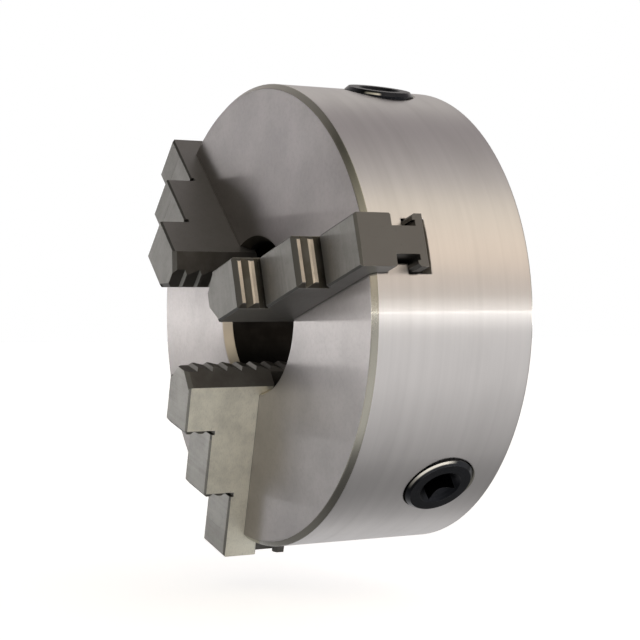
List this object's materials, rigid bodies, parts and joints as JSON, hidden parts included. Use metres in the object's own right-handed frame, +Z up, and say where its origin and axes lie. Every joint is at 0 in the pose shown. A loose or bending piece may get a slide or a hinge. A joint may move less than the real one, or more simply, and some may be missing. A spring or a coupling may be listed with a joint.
{
  "type": "lathe chuck",
  "caption": "Self-centring scroll chuck for a lathe: round steel body with stepped, serrated jaws that slide in together when a square key turns a bevel pinion in its rim.",
  "frame": {"origin": "centre of the rear mounting face, on the chuck's axis", "axes": "+Y along the chuck's axis towards the spindle that carries it, so the front face and jaws look towards -Y; +Z up; +X to the right seen from the front"},
  "size_m": [0.2079, 0.1083, 0.2079],
  "materials": {
    "body_iron": "turned bright on the rim, ground on the face",
    "cover_iron": "turned",
    "scroll_steel": "ground",
    "jaw_steel": "hardened and ground, slightly grey-green",
    "pinion_steel": "black oxide",
    "screw_steel": "black oxide"
  },
  "bodies": {
    "housing": {"chuck_body": "body_iron", "back_cover": "cover_iron", "pinion_retainer_1": "screw_steel", "pinion_retainer_2": "screw_steel", "pinion_retainer_3": "screw_steel", "cover_screw_1": "screw_steel", "cover_screw_2": "screw_steel", "cover_screw_3": "screw_steel", "cover_screw_4": "screw_steel", "cover_screw_5": "screw_steel", "cover_screw_6": "screw_steel"},
    "scroll": {"scroll_plate": "scroll_steel"},
    "jaw_slide_1": {"jaw_1": "jaw_steel"},
    "jaw_slide_2": {"jaw_2": "jaw_steel"},
    "jaw_slide_3": {"jaw_3": "jaw_steel"},
    "pinion_drive_1": {"pinion_1": "pinion_steel"},
    "pinion_drive_2": {"pinion_2": "pinion_steel"},
    "pinion_drive_3": {"pinion_3": "pinion_steel"}
  },
  "joints": [
    {"name": "scroll_spin", "type": "hinge", "parent": "housing", "child": "scroll", "pos_m": [0, -0.045, 0], "axis": [0, 1, 0], "range_deg": [-700, 540]},
    {"name": "jaw_1_travel", "type": "slide", "parent": "housing", "child": "jaw_slide_1", "axis": [0.9659, 0, 0.2588], "range_m": [-0.01944, 0.015]},
    {"name": "jaw_2_travel", "type": "slide", "parent": "housing", "child": "jaw_slide_2", "axis": [-0.7071, 0, 0.7071], "range_m": [-0.01944, 0.015]},
    {"name": "jaw_3_travel", "type": "slide", "parent": "housing", "child": "jaw_slide_3", "axis": [-0.2588, 0, -0.9659], "range_m": [-0.01944, 0.015]},
    {"name": "pinion_1_turn", "type": "hinge", "parent": "housing", "child": "pinion_drive_1", "pos_m": [0.02329, -0.0274, 0.08693], "axis": [0.2588, 0, 0.9659], "range_deg": [-5040, 3888]},
    {"name": "pinion_2_turn", "type": "hinge", "parent": "housing", "child": "pinion_drive_2", "pos_m": [-0.08693, -0.0274, -0.02329], "axis": [-0.9659, 0, -0.2588], "range_deg": [-5040, 3888]},
    {"name": "pinion_3_turn", "type": "hinge", "parent": "housing", "child": "pinion_drive_3", "pos_m": [0.06364, -0.0274, -0.06364], "axis": [0.7071, 0, -0.7071], "range_deg": [-5040, 3888]}
  ],
  "couplings": [
    {"joint": "jaw_1_travel", "follows": "scroll_spin", "m_per_rad": 0.0015915},
    {"joint": "jaw_2_travel", "follows": "scroll_spin", "m_per_rad": 0.0015915},
    {"joint": "jaw_3_travel", "follows": "scroll_spin", "m_per_rad": 0.0015915},
    {"joint": "pinion_1_turn", "follows": "scroll_spin", "ratio": 7.2},
    {"joint": "pinion_2_turn", "follows": "scroll_spin", "ratio": 7.2},
    {"joint": "pinion_3_turn", "follows": "scroll_spin", "ratio": 7.2}
  ]
}
